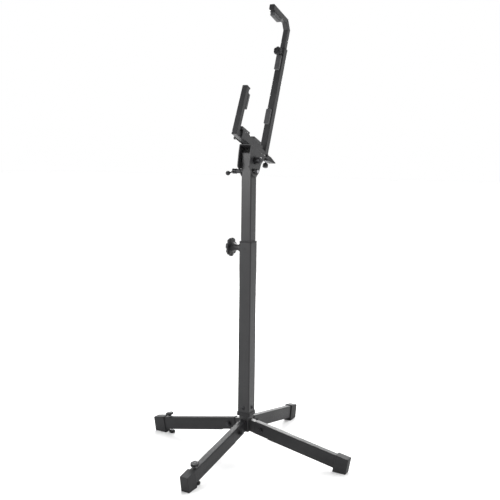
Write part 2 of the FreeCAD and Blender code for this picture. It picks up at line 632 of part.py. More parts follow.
def arm_clamp(frame):
    """The knob near the top of the long arm, its stud, and the welded boss that it screws into."""
    boss = rod("14", "boss_height", ("0", "0", "0"))
    bore = rod("small_stud + 2 * running", "20", ("0", "0", "-5"))
    subpart("arm_clamp_boss", cut(boss, bore), frame)
    grip = star_knob("small_knob", "small_knob_height + small_neck", "small_knob_height", "17", 6)
    place(grip, ("0", "0", "boss_height + 0.5"))
    subpart("arm_clamp_knob", cut(grip, rod("small_stud", "14", ("0", "0", "0"))), frame)
    subpart("arm_clamp_stud", rod("small_stud", "16.3", ("0", "0", "-2.3")), frame)


def rail_clamp(frame):
    """The slim knob under the rail's end plug, hanging from its stud."""
    grip = star_knob("rail_knob", "rail_knob_height + 3", "rail_knob_height", "12", 5)
    place(grip, ("0", "0", "2"))
    subpart("rail_clamp_knob", cut(grip, rod("small_stud", "14", ("0", "0", "0"))), frame)
    subpart("rail_clamp_stud", rod("small_stud", "19", ("0", "0", "-5")), frame)


def thumb_screw():
    """The screw in the rail's left wall that locks the slide bar."""
    shank = rod("small_stud", "(rail_width - bar_width) / 2 + 8.8",
                ("-rail_width / 2 - 9", "thumb_place", "thumb_level"), "x")
    head = rod("small_stud * 1.4", "6", ("-rail_width / 2 - 15", "thumb_place", "thumb_level"), "x")
    return subpart("slide_thumb_screw", join(shank, head), CRADLE)


# ---- short arm with its slide bar ---------------------------------------------------------

def mitred(corners, direction):
    """A square tube between two mitre cuts; its corners are given by a function of the half width."""
    solid = extrude("YZ_Plane", "bar_width", corners("bar_width / 2"))
    along = direction.normalize()

    def runs_along(edge):
        return isinstance(edge.Curve, Part.Line) and abs(edge.Curve.Direction.normalize().dot(along)) > 0.999

    soften(solid, "bar_corner", runs_along)
    hollow = extrude("YZ_Plane", "bar_width - 2 * bar_wall", corners("(bar_width / 2 - bar_wall)"))
    return cut(solid, hollow)


def short_arm():
    """The L-shaped short arm: a bar that slides in the rail, and an upright mitred to its end."""

    def corner(across, up):
        reach = "-short_place + %s * tan(short_lean) + %s / cos(short_lean)" % (up, across)
        return (reach, "bar_level + " + up)

    def top(across):
        length = "((short_top - bar_level) / cos(short_lean))"
        return ("-short_place + %s * sin(short_lean) + %s * cos(short_lean)" % (length, across),
                "bar_level + %s * cos(short_lean) - %s * sin(short_lean)" % (length, across))

    def bar_corners(half):
        return [corner("-" + half, "-" + half), ("bar_end", "bar_level - " + half),
                ("bar_end", "bar_level + " + half), corner(half, half)]

    def upright_corners(half):
        return [corner("-" + half, "-" + half), corner(half, half), top(half), top("-" + half)]

    lean = math.radians(S.short_lean)
    subpart("short_arm_slide_bar", mitred(bar_corners, Vector(0, 1, 0)), CRADLE)
    subpart("short_arm_upright", mitred(upright_corners, Vector(0, math.sin(lean), math.cos(lean))), CRADLE)
    leaning = Rotation(Vector(1, 0, 0), -S.short_lean)
    upright = CRADLE * Placement(Vector(0, -S.short_place, S.bar_level), leaning)
    height = "(short_top - bar_level) / cos(short_lean)"
    lid = bar("bar_width", "bar_width + 4", "stopper", "bar_corner", "z", ("0", "2", height))
    plug_width = "bar_width - 2 * bar_wall"
    plug = block((plug_width, plug_width, "10"), ("0", "0", height + " - 5"))
    subpart("short_arm_cap", join(lid, plug), upright)
    on_face = Placement(Vector(0, S.bar_width / 2, S.short_pad), Rotation(Vector(1, 0, 0), -90))
    subpart("short_arm_pad", pad_solid(), upright * on_face)


# ---- upper arm with its hook --------------------------------------------------------------

def upper_arm():
    """The telescopic arm: an upright, a short mitred elbow and the hook bar."""
    slant = "* tan(22.5)"
    rise = "(hook_level - knee_level)"

    def foot(across):
        return ("arm_place + " + across, "upper_foot")

    def knee(across):
        return ("arm_place + " + across, "knee_level + %s %s" % (across, slant))

    def bend(off):
        return ("arm_place - %s + %s %s" % (rise, off, slant), "hook_level + " + off)

    def end(off):
        return ("-hook_end", "hook_level - hook_drop + " + off)

    def upright(half):
        return [foot("-" + half), foot(half), knee(half), knee("-" + half)]

    def elbow(half):
        return [knee("-" + half), knee(half), bend(half), bend("-" + half)]

    def hook(half):
        return [end("-" + half), bend("-" + half), bend(half), end(half)]

    subpart("upper_arm_tube", mitred(upright, Vector(0, 0, 1)), CRADLE)
    subpart("upper_arm_elbow", mitred(elbow, Vector(0, -1, 1)), CRADLE)
    droop = math.atan2(S.hook_drop, S.hook_end + S.arm_place - S.hook_level + S.knee_level)
    subpart("hook_bar", mitred(hook, Vector(0, math.cos(droop), math.sin(droop))), CRADLE)
    drooped = Rotation(Vector(1, 0, 0), math.degrees(droop))
    tip = CRADLE * Placement(Vector(0, -S.hook_end, S.hook_level - S.hook_drop), drooped)
    lid = bar("bar_width", "bar_width", "stopper", "bar_corner", "y", ("0", "-stopper - 0.5", "0"))
    plug_width = "bar_width - 2 * bar_wall - 0.2"
    plug = block((plug_width, "12", plug_width), ("0", "5", "0"))
    subpart("hook_end_cap", join(lid, plug), tip)
    plate_at = ("0", "hook_pad", "-(bar_width + plate_thick) / 2")
    plate = block(("pad_width", "pad_length", "plate_thick"), plate_at)
    subpart("hook_pad_plate", plate, tip)
    under = Placement(Vector(0, S.hook_pad, -S.bar_width / 2 - S.plate_thick), Rotation(Vector(1, 0, 0), 180))
    subpart("hook_pad", pad_solid(), tip * under)


# ---- assembly ------------------------------------------------------------------------------

hub_core()
base_ring()
base_screws()
leg_pivot_bolts()
leg_pivot_nuts()
for side, heading in HEADINGS.items():
    leg_tube(side, heading)
    leg_end_cap(side, heading)
    if side in LEVELLED:
        levelling(side, heading)

lower_mast_tube()
mast_glide_collar()
mast_clamp()
upper_mast_tube()
mast_ends()
head_pivot()
tilt_clamp()
head_bracket()

rail_channel()
rail_trim()
subpart("rail_pad_front", pad_solid(), facing(S.front_pad, S.rail_high, 0))
subpart("rail_pad_rear", pad_solid(), facing(S.rear_pad, S.rail_high, 0))
long_arm()
arm_face = S.arm_place - S.arm_width / 2
subpart("arm_pad_lower", pad_solid(), facing(arm_face, S.lower_pad, 90))
subpart("arm_pad_upper", pad_solid(), facing(arm_face, S.upper_pad, 90))
arm_clamp(facing(arm_face, S.arm_clamp, 90))
rail_clamp(facing(S.stem_place, S.rail_low - 3.8, 180))
thumb_screw()
short_arm()
upper_arm()

DOC.recompute()

for item in DOC.Objects:
    faults = {"Invalid", "Error"} & set(item.State)
    if faults:
        raise SystemExit("%s (%s) did not recompute: %s" % (item.Name, item.Label, item.State))
for item in SUBPARTS:
    if item.Shape.isNull() or not item.Shape.isValid():
        raise SystemExit("%s has no valid shape" % item.Label)

os.makedirs("parts", exist_ok=True)
for item in SUBPARTS:
    item.Shape.exportStep("parts/%s.step" % item.Label)
print("%d sub-parts written" % len(SUBPARTS))
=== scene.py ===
import json
import math

import bmesh
import bpy
from mathutils import Matrix, Vector, noise


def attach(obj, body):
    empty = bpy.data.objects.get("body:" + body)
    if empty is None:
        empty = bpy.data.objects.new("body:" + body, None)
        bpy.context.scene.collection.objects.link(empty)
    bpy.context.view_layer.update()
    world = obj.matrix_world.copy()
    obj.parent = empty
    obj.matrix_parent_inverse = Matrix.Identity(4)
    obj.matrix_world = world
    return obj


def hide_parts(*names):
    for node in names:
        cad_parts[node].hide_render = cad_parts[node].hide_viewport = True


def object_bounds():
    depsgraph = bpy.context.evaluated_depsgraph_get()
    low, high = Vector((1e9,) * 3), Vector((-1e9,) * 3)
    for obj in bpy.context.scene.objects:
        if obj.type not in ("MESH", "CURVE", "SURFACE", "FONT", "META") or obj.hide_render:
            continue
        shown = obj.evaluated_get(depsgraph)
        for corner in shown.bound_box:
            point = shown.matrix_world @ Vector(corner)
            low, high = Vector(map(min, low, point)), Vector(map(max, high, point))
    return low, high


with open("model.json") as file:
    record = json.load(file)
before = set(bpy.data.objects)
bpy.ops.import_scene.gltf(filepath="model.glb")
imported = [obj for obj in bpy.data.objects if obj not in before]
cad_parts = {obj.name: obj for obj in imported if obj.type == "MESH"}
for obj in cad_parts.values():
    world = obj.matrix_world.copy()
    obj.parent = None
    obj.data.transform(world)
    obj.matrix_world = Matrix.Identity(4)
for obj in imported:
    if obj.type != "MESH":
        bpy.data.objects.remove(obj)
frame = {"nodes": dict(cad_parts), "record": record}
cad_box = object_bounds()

NODES = frame["nodes"]
TILT = math.radians(20.5)
SLOPE = math.radians(10.7)
LEAN = math.radians(3)
HEAD = 0.8935
CLAMP_LEVEL = 0.629
LEVER_PLACE = (-0.049, 0, 0.8605)
PIVOT_REACH, PIVOT_LEVEL = 0.056, 0.0752
SCREW_REACH, FOOT_BALL_LEVEL = 0.230, 0.005
RAIL_TOP = 0.062
ARM_PLACE, KNEE_LEVEL = 0.078, 0.476
ARM_FRONT, ARM_CLAMP = 0.067, 0.386
RAIL_KNOB_PLACE, RAIL_KNOB_LEVEL = 0.103, 0.0332
SHORT_PLACE, BAR_LEVEL = -0.105, 0.046
THUMB_PLACE = -0.062
BAR_HALF, BAR_CORNER = 0.0085, 0.002


# ---- frames ---------------------------------------------------------------------------

CRADLE = Matrix.Translation((0, 0, HEAD)) @ Matrix.Rotation(-TILT, 4, "X")
SHORT_ARM = CRADLE @ Matrix.Translation((0, SHORT_PLACE, BAR_LEVEL)) @ Matrix.Rotation(-LEAN, 4, "X")
BEND_PLACE, HOOK_LEVEL, HOOK_TIP, HOOK_DROP = 0.0575, 0.4965, -0.037, 0.006
HOOK = (CRADLE @ Matrix.Translation((0, HOOK_TIP, HOOK_LEVEL - HOOK_DROP))
        @ Matrix.Rotation(math.atan2(HOOK_DROP, BEND_PLACE - HOOK_TIP), 4, "X"))
HEADINGS = {"right": 0, "back": 90, "left": 180, "front": -90}


def leg_frame(side):
    """Origin on the leg's pivot bolt, +X outwards along the sloping leg."""
    slope = Matrix.Translation((PIVOT_REACH, 0, PIVOT_LEVEL)) @ Matrix.Rotation(SLOPE, 4, "Y")
    return Matrix.Rotation(math.radians(HEADINGS[side]), 4, "Z") @ slope


# ---- materials --------------------------------------------------------------------------

class Nodes:
    """A material's node tree, with short calls for the nodes used here."""

    def __init__(self, name):
        self.material = bpy.data.materials.new(name)
        self.material.use_nodes = True
        self.tree = self.material.node_tree
        self.shader = self.tree.nodes["Principled BSDF"]
        self.where = self.add("ShaderNodeTexCoord").outputs["Object"]

    def add(self, kind, **settings):
        node = self.tree.nodes.new(kind)
        for key, value in settings.items():
            setattr(node, key, value)
        return node

    def link(self, out, socket):
        self.tree.links.new(out, socket)

    def stretched(self, scale):
        node = self.add("ShaderNodeMapping")
        node.inputs["Scale"].default_value = scale
        self.link(self.where, node.inputs["Vector"])
        return node.outputs["Vector"]

    def noise(self, scale, detail=3.0, rough=0.55, vector=None):
        node = self.add("ShaderNodeTexNoise")
        node.inputs["Scale"].default_value = scale
        node.inputs["Detail"].default_value = detail
        node.inputs["Roughness"].default_value = rough
        self.link(vector or self.where, node.inputs["Vector"])
        return node.outputs["Fac"]

    def cells(self, scale, vector=None):
        node = self.add("ShaderNodeTexVoronoi")
        node.inputs["Scale"].default_value = scale
        self.link(vector or self.where, node.inputs["Vector"])
        return node.outputs["Distance"]

    def remap(self, value, low, high, to_low, to_high):
        node = self.add("ShaderNodeMapRange")
        limits = {"From Min": low, "From Max": high, "To Min": to_low, "To Max": to_high}
        for key, number in limits.items():
            node.inputs[key].default_value = number
        self.link(value, node.inputs["Value"])
        return node.outputs["Result"]

    def math(self, operation, first, second):
        node = self.add("ShaderNodeMath", operation=operation)
        for socket, value in zip(node.inputs, (first, second)):
            if isinstance(value, (int, float)):
                socket.default_value = value
            else:
                self.link(value, socket)
        return node.outputs["Value"]

    def blend(self, factor, first, second):
        node = self.add("ShaderNodeMix", data_type="RGBA")
        self.link(factor, node.inputs["Factor"])
        for socket, value in ((node.inputs["A"], first), (node.inputs["B"], second)):
            if isinstance(value, (tuple, list)):
                socket.default_value = (*value, 1.0)
            else:
                self.link(value, socket)
        return node.outputs["Result"]

    def bump(self, height, distance, strength=1.0, below=None):
        node = self.add("ShaderNodeBump")
        node.inputs["Distance"].default_value = distance
        node.inputs["Strength"].default_value = strength
        self.link(height, node.inputs["Height"])
        if below:
            self.link(below, node.inputs["Normal"])
        return node.outputs["Normal"]

    def finish(self, color, roughness, normal, metallic=0.0, **fixed):
        self.link(color, self.shader.inputs["Base Color"])
        self.link(roughness, self.shader.inputs["Roughness"])
        self.link(normal, self.shader.inputs["Normal"])
        self.shader.inputs["Metallic"].default_value = metallic
        for key, value in fixed.items():
            self.shader.inputs[key.replace("_", " ")].default_value = value
        return self.material


def edge_wear(nodes, width, amount):
    """How worn a point is, up to amount on sharp edges, and a normal that rounds them."""
    rounded = nodes.add("ShaderNodeBevel", samples=4)
    rounded.inputs["Radius"].default_value = width
    flat = nodes.add("ShaderNodeNewGeometry").outputs["Normal"]
    dot = nodes.add("ShaderNodeVectorMath", operation="DOT_PRODUCT")
    nodes.link(rounded.outputs["Normal"], dot.inputs[0])
    nodes.link(flat, dot.inputs[1])
    edge = nodes.remap(dot.outputs["Value"], 0.995, 0.9, 0.0, 1.0)
    patches = nodes.remap(nodes.noise(55.0, 4.0), 0.5, 0.66, 0.0, amount)
    return nodes.math("MULTIPLY", edge, patches), rounded.outputs["Normal"]


def powder_coat(name, color, rubbed=False, wear=0.35, shine=0.36):
    """Satin powder coat: fine orange peel, cloudy gloss, and pale rubbed edges."""
    nodes = Nodes(name)
    peel = nodes.noise(2600.0, 2.0, 0.5)
    grit = nodes.cells(3800.0)
    cloud = nodes.noise(9.0, 4.0, 0.6)
    dust = nodes.noise(240.0, 5.0, 0.65)
    lighter = [channel * 1.3 + 0.002 for channel in color]
    tone = nodes.blend(nodes.remap(cloud, 0.35, 0.65, 0.0, 1.0), color, lighter)
    dusty = [channel * 2.0 + 0.006 for channel in color]
    tone = nodes.blend(nodes.remap(dust, 0.6, 0.75, 0.0, 0.35), tone, dusty)
    worn, rounded = edge_wear(nodes, 0.0009, wear)
    tone = nodes.blend(worn, tone, (0.14, 0.14, 0.145))
    gloss = nodes.remap(cloud, 0.3, 0.7, 0.40, 0.50)
    gloss = nodes.math("ADD", gloss, nodes.remap(dust, 0.4, 0.7, -0.03, 0.05))
    normal = nodes.bump(peel, 0.00012, 0.55, rounded)
    normal = nodes.bump(grit, 0.00006, 0.5, normal)
    if rubbed:
        streaks = nodes.noise(1.0, 5.0, 0.7, nodes.stretched((420.0, 420.0, 3.0)))
        rub = nodes.remap(streaks, 0.58, 0.72, 0.0, 0.30)
        tone = nodes.blend(rub, tone, (0.11, 0.11, 0.115))
        gloss = nodes.math("SUBTRACT", gloss, nodes.math("MULTIPLY", rub, 0.25))
        normal = nodes.bump(streaks, 0.00004, 0.4, normal)
    return nodes.finish(tone, gloss, normal, Specular_IOR_Level=shine)


def moulded(name, color, grain=2200.0, gloss=(0.5, 0.62), wear=0.25):
    """Matt moulded plastic with a fine spark-eroded grain."""
    nodes = Nodes(name)
    fine = nodes.noise(grain, 3.0, 0.6)
    pits = nodes.cells(grain * 0.8)
    cloud = nodes.noise(30.0, 4.0, 0.6)
    lighter = [channel * 1.35 + 0.003 for channel in color]
    tone = nodes.blend(nodes.remap(cloud, 0.35, 0.65, 0.0, 1.0), color, lighter)
    worn, rounded = edge_wear(nodes, 0.0007, wear)
    tone = nodes.blend(worn, tone, [channel * 3.0 + 0.03 for channel in color])
    rough = nodes.remap(cloud, 0.3, 0.7, *gloss)
    rough = nodes.math("ADD", rough, nodes.remap(fine, 0.3, 0.7, -0.04, 0.06))
    normal = nodes.bump(fine, 0.00016, 0.6, rounded)
    normal = nodes.bump(pits, 0.00008, 0.5, normal)
    return nodes.finish(tone, rough, normal, Specular_IOR_Level=0.3)


def steel(name, color, gloss, streak=(900.0, 900.0, 900.0), wear=0.5):
    """Blackened or plated steel with machining marks."""
    nodes = Nodes(name)
    marks = nodes.noise(1.0, 4.0, 0.65, nodes.stretched(streak))
    cloud = nodes.noise(60.0, 4.0, 0.6)
    lighter = [channel * 1.4 for channel in color]
    tone = nodes.blend(nodes.remap(cloud, 0.35, 0.65, 0.0, 1.0), color, lighter)
    worn, rounded = edge_wear(nodes, 0.0005, wear)
    tone = nodes.blend(worn, tone, (0.36, 0.36, 0.37))
    rough = nodes.remap(cloud, 0.3, 0.7, *gloss)
    rough = nodes.math("ADD", rough, nodes.remap(marks, 0.3, 0.7, -0.05, 0.07))
    return nodes.finish(tone, rough, nodes.bump(marks, 0.00003, 0.5, rounded), metallic=0.9)


def foam_skin(name, color):
    """Closed-cell foam: soft pebbles with painted highlight on their crests and painted shade in their
    hollows, open pores and a dusty sheen.
    """
    nodes = Nodes(name)
    pebbles = nodes.cells(900.0)
    pores = nodes.noise(2400.0, 4.0, 0.7)
    mottle = nodes.noise(70.0, 5.0, 0.6)
    # painted light: the pebble crests get a painted highlight and the hollows a painted shade, keyed to the
    # same cells as the bump below
    lit_crest_tone = [channel * 1.3 for channel in color]
    shaded_hollow_tone = [channel * 0.62 for channel in color]
    dusty = [channel * 1.7 + 0.004 for channel in color]
    tone = nodes.blend(nodes.remap(pebbles, 0.1, 0.75, 0.0, 1.0), lit_crest_tone, shaded_hollow_tone)
    tone = nodes.blend(nodes.remap(mottle, 0.4, 0.68, 0.0, 0.6), tone, dusty)
    normal = nodes.bump(pebbles, -0.0003, 0.6)
    normal = nodes.bump(pores, 0.0002, 0.6, normal)
    return nodes.finish(tone, nodes.remap(mottle, 0.3, 0.7, 0.78, 0.95), normal, Sheen_Weight=0.25,
                        Sheen_Roughness=0.5, Specular_IOR_Level=0.3)


PAINT = powder_coat("black powder coat", (0.015, 0.015, 0.016))
RUBBED = powder_coat("rubbed powder coat", (0.017, 0.017, 0.018), rubbed=True)
LEG_PAINT = powder_coat("leg powder coat", (0.013, 0.013, 0.014), shine=0.2)
HUB_PAINT = powder_coat("hub paint", (0.012, 0.012, 0.013), wear=0.5)
PLASTIC = moulded("black moulding", (0.009, 0.009, 0.010))
CAP_PLASTIC = moulded("ribbed cap moulding", (0.009, 0.009, 0.010), grain=1700.0,
                      gloss=(0.55, 0.68), wear=0.45)
KNOB_PLASTIC = moulded("knob moulding", (0.007, 0.007, 0.008), grain=2800.0,
                       gloss=(0.36, 0.48), wear=0.3)
BLACK_STEEL = steel("blackened steel", (0.030, 0.030, 0.032), (0.36, 0.5))
ZINC = steel("zinc-plated steel", (0.42, 0.42, 0.44), (0.24, 0.36), (300.0, 300.0, 2600.0))
FOAM = foam_skin("foam", (0.034, 0.034, 0.036))
FOOT_RUBBER = moulded("foot rubber", (0.018, 0.018, 0.018), grain=1400.0,
                      gloss=(0.7, 0.85), wear=0.1)

FINISH = {"black_paint": PAINT, "hub_paint": HUB_PAINT, "black_plastic": PLASTIC,
          "knob_plastic": KNOB_PLASTIC, "black_steel": BLACK_STEEL, "bright_steel": ZINC,
          "foam": FOAM, "foot_rubber": FOOT_RUBBER}
FINE_FINISH = {"upper_mast_tube": RUBBED, "upper_arm_tube": RUBBED, "short_arm_slide_bar": RUBBED}
for heading in HEADINGS:
    FINE_FINISH["leg_tube_" + heading] = LEG_PAINT
    FINE_FINISH["leg_end_cap_" + heading] = CAP_PLASTIC

for part in frame["record"]["subparts"]:
    node = NODES[part["node"]]
    node.data.materials.clear()
    node.data.materials.append(FINE_FINISH.get(part["node"], FINISH[part["material_slot"]]))

floor_nodes = Nodes("floor")
speckle = floor_nodes.noise(60.0, 4.0)
floor_tone = floor_nodes.blend(floor_nodes.remap(speckle, 0.3, 0.7, 0.0, 1.0),
                               (0.88, 0.88, 0.88), (0.90, 0.90, 0.90))
FLOOR = floor_nodes.finish(floor_tone, floor_nodes.remap(speckle, 0.3, 0.7, 0.62, 0.7),
                           floor_nodes.bump(speckle, 0.0001, 0.2))


# ---- mesh code --------------------------------------------------------------------------

def piece(name, bm, body, material, replaces=()):
    """A finished mesh as an object that rides on a body."""
    bmesh.ops.remove_doubles(bm, verts=bm.verts, dist=1e-7)
    bmesh.ops.recalc_face_normals(bm, faces=bm.faces)
    mesh = bpy.data.meshes.new(name)
    bm.to_mesh(mesh)
    bm.free()
    mesh.materials.append(material)
    mesh.shade_smooth()
    made = bpy.data.objects.new(name, mesh)
    bpy.context.scene.collection.objects.link(made)
    mesh.set_sharp_from_angle(angle=math.radians(38))
    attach(made, body)
    if replaces:
        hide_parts(*replaces)
    return made


def rings(bm, loops, matrix):
    """A closed skin through loops of points, each loop one turn, its two ends filled."""
    rows = [[bm.verts.new(matrix @ Vector(point)) for point in loop] for loop in loops]
    for low, high in zip(rows, rows[1:]):
        for step in range(len(low)):
            after = (step + 1) % len(low)
            bm.faces.new((low[step], low[after], high[after], high[step]))
    bm.faces.new(rows[0][::-1])
    bm.faces.new(rows[-1])


def turned(bm, profile, matrix, steps=64, shape=None):
    """A solid of revolution about +Z; shape(angle, radius, height) may vary its radius."""
    loops = []
    for radius, height in profile:
        loop = []
        for step in range(steps):
            angle = 2 * math.pi * step / steps
            reach = shape(angle, radius, height) if shape else radius
            loop.append((reach * math.cos(angle), reach * math.sin(angle), height))
        loops.append(loop)
    rings(bm, loops, matrix)


def threaded(bm, radius, low, high, pitch, matrix, steps=24, rows=6):
    """A rod along +Z with a helical thread cut into it, plain at both ends."""
    loops = []
    depth = 0.6 * pitch
    count = int((high - low) / pitch * rows)
    for row in range(count + 1):
        height = low + (high - low) * row / count
        fade = min(1.0, (height - low) / pitch, (high - height) / pitch)
        loop = []
        for step in range(steps):
            angle = 2 * math.pi * step / steps
            phase = (height / pitch - step / steps) % 1.0
            groove = 1.0 - abs(2.0 * phase - 1.0)
            reach = radius - depth * groove * max(0.0, fade)
            loop.append((reach * math.cos(angle), reach * math.sin(angle), height))
        loops.append(loop)
    chamfer = [(0.82 * radius, low - 0.0006), (0.82 * radius, high + 0.0006)]
    around = [2 * math.pi * step / steps for step in range(steps)]
    ends = [[(reach * math.cos(angle), reach * math.sin(angle), height) for angle in around]
            for reach, height in chamfer]
    rings(bm, [ends[0]] + loops + [ends[1]], matrix)


def lobed(count, depth, inner):
    """The radius rule of a lobed knob: scallops between the lobes, none inside a radius."""
    def shape(angle, radius, height):
        dip = max(0.0, math.cos(count * angle)) ** 1.3
        outward = min(1.0, max(0.0, (radius - inner) / (0.25 * inner)))
        return radius - depth * dip * outward
    return shape


def rounded_block(bm, half, radius, matrix, cuts=14, crown=0.0, pinch=0.0):
    """A block with rounded edges, a crowned top and sides that pull in towards the middle."""
    made = bmesh.new()
    bmesh.ops.create_cube(made, size=2.0)
    bmesh.ops.subdivide_edges(made, edges=made.edges[:], cuts=cuts, use_grid_fill=True)
    for vert in made.verts:
        unit = Vector([math.copysign(abs(part) ** 0.6, part) for part in vert.co])
        point = Vector([part * size for part, size in zip(unit, half)])
        inner = [size - radius for size in half]
        core = Vector([max(-limit, min(limit, part)) for part, limit in zip(point, inner)])
        off = point - core
        if off.length > 1e-9:
            point = core + off.normalized() * radius
        across, along, up = unit
        point.z += crown * (1 - across ** 2) * (1 - along ** 4) * max(0.0, up)
        waist = 1 - pinch * (1 - up ** 2)
        point.x *= waist
        point.y *= 1 - (1 - waist) * half[0] / half[1]
        vert.co = matrix @ point
    copy = bpy.data.meshes.new("block")
    made.to_mesh(copy)
    made.free()
    bm.from_mesh(copy)
    bpy.data.meshes.remove(copy)


# ---- foam pads ------------------------------------------------------------------------------

def foam_pad(name, body, matrix):
    """A crowned foam block glued on a thin backing strip; it lies on its frame's XY plane."""
    bm = bmesh.new()
    rounded_block(bm, (0.0084, 0.0249, 0.0052), 0.0024, matrix @ Matrix.Translation((0, 0, 0.0064)),
                  crown=0.0007, pinch=0.05)
    for vert in bm.verts:
        local = noise.noise(vert.co * 160.0)
        vert.co += matrix.to_3x3() @ Vector((0, 0, 0.00012 * local))
    pad = piece(name + "_foam", bm, body, FOAM, [name])
    strip = bmesh.new()
    rounded_block(strip, (0.0085, 0.025, 0.00075), 0.0005, matrix @ Matrix.Translation((0, 0, 0.00075)),
                  cuts=8)
    piece(name + "_backing", strip, body, PLASTIC)
    return pad


def cradle_at(along, off, turn):
    """A frame at a place along and off the cradle's rail, turned about X by some degrees."""
    return CRADLE @ Matrix.Translation((0, along, off)) @ Matrix.Rotation(math.radians(turn), 4, "X")


foam_pad("rail_pad_front", "cradle", cradle_at(-0.062, RAIL_TOP, 0))
foam_pad("rail_pad_rear", "cradle", cradle_at(0.015, RAIL_TOP, 0))
foam_pad("arm_pad_lower", "cradle", cradle_at(ARM_FRONT, 0.168, 90))
foam_pad("arm_pad_upper", "cradle", cradle_at(ARM_FRONT, 0.353, 90))
foam_pad("hook_pad", "upper_arm",
         HOOK @ Matrix.Translation((0, 0.030, -0.0115)) @ Matrix.Rotation(math.pi, 4, "X"))
foam_pad("short_arm_pad", "short_arm",
         SHORT_ARM @ Matrix.Translation((0, BAR_HALF, 0.107)) @ Matrix.Rotation(-math.pi / 2, 4, "X"))


# ---- knobs ------------------------------------------------------------------------------------

def knob(name, body, matrix, width, reach, rim, hub, lobes, replaces):
    """A moulded lobed knob standing on its neck, with a parted cap in its face."""
    half = width / 2
    back = reach - rim
    neck = [(hub * 0.26, 0), (hub * 0.30, 0.0006), (hub * 0.31, back * 0.3), (hub * 0.34, back * 0.62),
            (hub * 0.42, back * 0.86), (hub * 0.5, back - 0.0006)]
    edge = [(0.80, 0), (0.93, 0.05), (0.985, 0.16), (1, 0.32), (1, 0.62), (0.975, 0.82), (0.92, 0.95)]
    face = [(0.84, 0), (0.60, -0.03), (0.47, -0.05), (0.455, -0.14), (0.43, -0.14), (0.415, -0.04), (0.30, 0),
            (0.10, 0)]
    profile = (neck + [(half * out, back + rim * up) for out, up in edge]
               + [(half * out, reach + rim * up) for out, up in face])
    bm = bmesh.new()
    turned(bm, profile, matrix, steps=16 * lobes, shape=lobed(lobes, width * 0.075, half * 0.62))
    return piece(name, bm, body, KNOB_PLASTIC, replaces)


LEFTWARD = Matrix.Rotation(-math.pi / 2, 4, "Y")
MAST_STUD = Matrix.Translation((0, 0, CLAMP_LEVEL)) @ LEFTWARD
ARM_STUD = cradle_at(ARM_FRONT, ARM_CLAMP, 90)
RAIL_STUD = cradle_at(RAIL_KNOB_PLACE, RAIL_KNOB_LEVEL, 180)
knob("mast_clamp_star", "mast_knob", MAST_STUD @ Matrix.Translation((0, 0, 0.0295)),
     0.057, 0.0345, 0.010, 0.030, 7, ["mast_clamp_knob"])
knob("arm_clamp_star", "arm_knob", ARM_STUD @ Matrix.Translation((0, 0, 0.0065)),
     0.027, 0.021, 0.012, 0.017, 6, ["arm_clamp_knob"])
knob("rail_clamp_star", "rail_knob", RAIL_STUD @ Matrix.Translation((0, 0, 0.002)),
     0.017, 0.016, 0.013, 0.012, 5, ["rail_clamp_knob"])


def threaded_stud(name, body, matrix, radius, low, high, pitch, node):
    """The visible thread of a clamp's stud, along its frame's +Z."""
    stud = bmesh.new()
    threaded(stud, radius - 0.00005, low + 0.0006, high - 0.0006, pitch, matrix)
    return piece(name, stud, body, ZINC, [node])


TILT_STUD = Matrix.Translation((0, 0, LEVER_PLACE[2])) @ LEFTWARD
FINE_PITCH, COARSE_PITCH = 0.001, 0.00125
threaded_stud("arm_clamp_thread", "arm_knob", ARM_STUD, 0.003, -0.0023, 0.014, FINE_PITCH,
              "arm_clamp_stud")
threaded_stud("rail_clamp_thread", "rail_knob", RAIL_STUD, 0.003, -0.005, 0.014, FINE_PITCH,
              "rail_clamp_stud")
threaded_stud("tilt_clamp_thread", "tilt_handle", TILT_STUD, 0.004, -0.0316, 0.049, COARSE_PITCH,
              "tilt_clamp_stud")
threaded_stud("mast_clamp_thread", "mast_knob", MAST_STUD, 0.004, 0.0173, 0.0423, COARSE_PITCH,
              "mast_clamp_stud")

for side in ("left", "front"):
    at = leg_frame(side) @ Matrix.Translation((SCREW_REACH, 0, 0))
    tip = (FOOT_BALL_LEVEL - PIVOT_LEVEL + SCREW_REACH * math.sin(SLOPE)) / math.cos(SLOPE)
    knob("levelling_grip_" + side, "screw_" + side, at @ Matrix.Translation((0, 0, 0.0215)),
         0.025, 0.012, 0.008, 0.016, 6, ["levelling_knob_" + side])
    stem = bmesh.new()
    threaded(stem, 0.00395, tip + 0.006, 0.0225, COARSE_PITCH, at)
    ball_end = [(0.0001, -0.0035), (0.0012, -0.0033), (0.0024, -0.0025), (0.0033, -0.0011), (0.0035, 0),
                (0.0033, 0.0011), (0.0026, 0.0023), (0.0023, 0.0034), (0.0023, 0.0062)]
    turned(stem, ball_end, at @ Matrix.Translation((0, 0, tip)), steps=32)
    piece("levelling_stem_" + side, stem, "screw_" + side, ZINC, ["levelling_screw_" + side])


def knurl(angle, radius, height):
    """Straight knurling on the rim of a thumb screw, none on its shank."""
    return radius - (0.00022 * (1 + math.cos(20 * angle)) if radius > 0.0040 else 0)


thumb = bmesh.new()
THUMB_PROFILE = [(0.0001, -0.0048), (0.0027, -0.0048), (0.00295, -0.0044), (0.00295, 0.0088),
                 (0.0032, 0.0091), (0.00405, 0.0093), (0.0042, 0.0097), (0.0042, 0.0143),
                 (0.00405, 0.0148), (0.0034, 0.0150), (0.0026, 0.0150), (0.0024, 0.0147),
                 (0.0001, 0.0147)]
turned(thumb, THUMB_PROFILE, CRADLE @ Matrix.Translation((-0.0135, THUMB_PLACE, BAR_LEVEL)) @ LEFTWARD,
       steps=80, shape=knurl)
piece("thumb_screw_knurled", thumb, "thumb_screw", BLACK_STEEL, ["slide_thumb_screw"])

